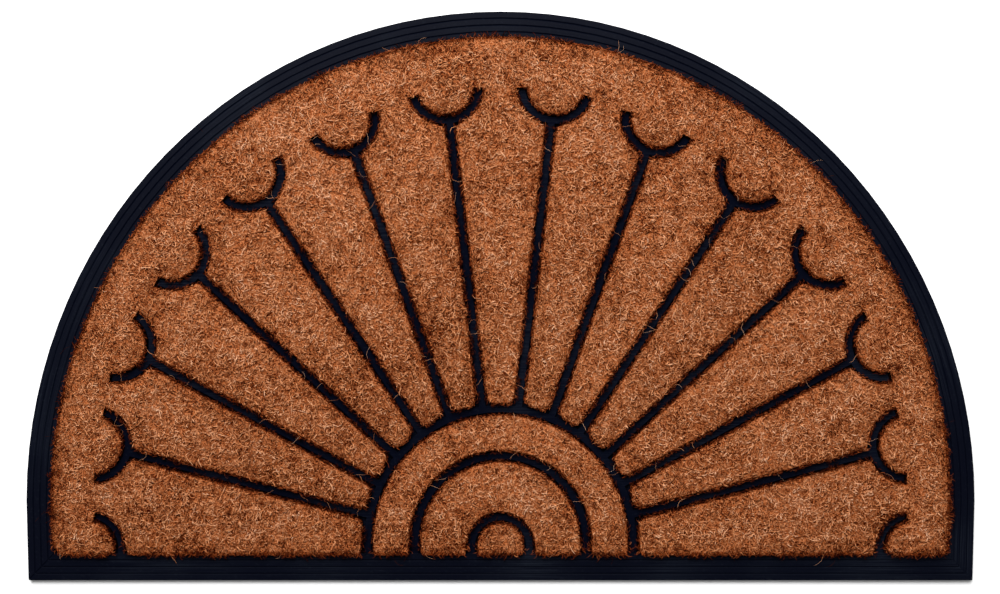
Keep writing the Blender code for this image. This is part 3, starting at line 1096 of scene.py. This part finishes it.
def add_strays(settings, rng):
    """Long curled fibres that have come loose and lie across the rubber."""
    count = settings.stray_count
    surface = triangle_tree(node_triangles([RUBBER_NODE, *COIR_NODES])[0])
    angle = rng.uniform(-STRAY_ROUND, math.pi + STRAY_ROUND, count)
    x = np.cos(angle) * (HALF_WIDTH - STRAY_INSET)
    y = ARC_CENTRE_Y + np.sin(angle) * (ARC_HEIGHT - STRAY_INSET)
    at_front = y < FRONT_Y + STRAY_INSET
    x = np.where(at_front, rng.uniform(-STRAY_ROUND, STRAY_ROUND, count), x)
    y = np.where(at_front, FRONT_Y + STRAY_INSET, y)
    heading = rng.uniform(0, 2 * math.pi, count)
    turn = rng.normal(0, STRAY_TURN, count)
    step = rng.uniform(*STRAY_STEP, count)
    seen = np.array(SEEN_STRAYS) + [0, FRONT_Y, 0, 0, 0]
    seen[:, 2:4] = np.radians(seen[:, 2:4])
    seen[:, 4] /= STRAY_POINTS - 1
    drawn = np.stack([x, y, heading, turn, step], axis=1)
    x, y, heading, turn, step = np.concatenate([drawn, seen]).T
    count = len(x)
    heading = heading + np.cumsum(turn + rng.normal(0, STRAY_WAVER, (STRAY_POINTS - 1, count)), axis=0)
    places = np.zeros((count, STRAY_POINTS, 3))
    places[:, 1:, :2] = np.cumsum(step * np.stack([np.cos(heading), np.sin(heading)]), axis=1).T
    places[:, :, :2] += np.stack([x, y], axis=1)[:, None]
    radii = settings.thickness * rng.uniform(*STRAY_THICKNESS, count)
    for line, radius in zip(places, radii):
        for point in line:
            hit = surface.ray_cast((point[0], point[1], 0.1), (0, 0, -1))[0]
            point[2] = (hit.z if hit else 0.0) + radius
    return strand_arrays(places, radii, rng.uniform(*STRAY_LIGHT, count))


class DOORMAT_OT_loose_fibres(bpy.types.Operator):
    """Lay loose pale fibres across the rubber"""

    bl_idname = "doormat.loose_fibres"
    bl_label = "Loose Fibres"

    def execute(self, context):
        settings = context.scene.doormat_coir
        rng = np.random.default_rng(settings.seed + 2)
        piece = join_strands("coir_loose_fibres", [add_strays(settings, rng)])
        finish_piece(piece, fibre_material(settings))
        return {"FINISHED"}


# Where the key light and the camera stand, the light's size and the floor's
KEY_PLACE = (-0.18, 0.95, 1.55)
KEY_SIZE = 1.2
CAMERA_X = -0.0004
CAMERA_Y = -0.0009
FLOOR_SIZE = 12.0


class DOORMAT_OT_stage(bpy.types.Operator):
    """Set the floor, the lights and the camera"""

    bl_idname = "doormat.stage"
    bl_label = "Stage"

    def execute(self, context):
        settings = context.scene.doormat_stage
        self.add_floor(settings)
        self.add_lights(context, settings)
        self.add_camera(context, settings)
        context.scene.view_settings.view_transform = "Standard"
        return {"FINISHED"}

    def add_floor(self, settings):
        bpy.ops.mesh.primitive_plane_add(size=FLOOR_SIZE)
        floor = bpy.context.object
        floor.name = "floor"
        material, tree = new_material("pale_floor")
        set_shader(tree, ("Base Color", (*settings.floor_colour, 1.0)), ("Roughness", 0.9))
        floor.data.materials.append(material)

    def add_lights(self, context, settings):
        world = bpy.data.worlds.new("studio")
        world.use_nodes = True
        sky = [("Color", (1.0, 1.0, 1.0, 1.0)), ("Strength", settings.sky)]
        connect(world.node_tree, world.node_tree.nodes["Background"], sky)
        context.scene.world = world
        bpy.ops.object.light_add(type="AREA", location=KEY_PLACE)
        light = bpy.context.object
        light.name = "key_light"
        light.data.energy = settings.key_power
        light.data.size = KEY_SIZE
        light.rotation_euler = (-light.location).to_track_quat("-Z", "Y").to_euler()

    def add_camera(self, context, settings):
        bpy.ops.object.camera_add(location=(CAMERA_X, CAMERA_Y, settings.camera_height))
        camera = bpy.context.object
        camera.data.lens = settings.lens
        context.scene.camera = camera


class DOORMAT_PT_panel(bpy.types.Panel):
    """Lists the doormat's settings and steps"""

    bl_idname = "DOORMAT_PT_panel"
    bl_label = "Half-Round Doormat"
    bl_space_type = "VIEW_3D"
    bl_region_type = "UI"
    bl_category = "Doormat"

    def draw(self, context):
        layout = self.layout
        for title, settings, steps in (
            ("Rubber", context.scene.doormat_rubber, OPERATORS[:1]),
            ("Coir", context.scene.doormat_coir, OPERATORS[1:4]),
            ("Stage", context.scene.doormat_stage, OPERATORS[4:]),
        ):
            box = layout.box()
            box.label(text=title)
            for name in settings.__annotations__:
                box.prop(settings, name)
            for operator in steps:
                box.operator(operator.bl_idname)


GROUPS = (
    ("doormat_rubber", RubberSettings),
    ("doormat_coir", CoirSettings),
    ("doormat_stage", StageSettings),
)
OPERATORS = (
    DOORMAT_OT_rubber,
    DOORMAT_OT_coir_beds,
    DOORMAT_OT_coir_pile,
    DOORMAT_OT_loose_fibres,
    DOORMAT_OT_stage,
)


def register():
    for name, group in GROUPS:
        bpy.utils.register_class(group)
        setattr(bpy.types.Scene, name, PointerProperty(type=group))
    for made in (*OPERATORS, DOORMAT_PT_panel):
        bpy.utils.register_class(made)


def unregister():
    for made in (DOORMAT_PT_panel, *reversed(OPERATORS)):
        bpy.utils.unregister_class(made)
    for name, group in reversed(GROUPS):
        delattr(bpy.types.Scene, name)
        bpy.utils.unregister_class(group)


def main():
    register()
    bpy.ops.doormat.rubber()
    bpy.ops.doormat.coir_beds()
    bpy.ops.doormat.coir_pile()
    bpy.ops.doormat.loose_fibres()
    bpy.ops.doormat.stage()


if __name__ == "__main__":
    main()
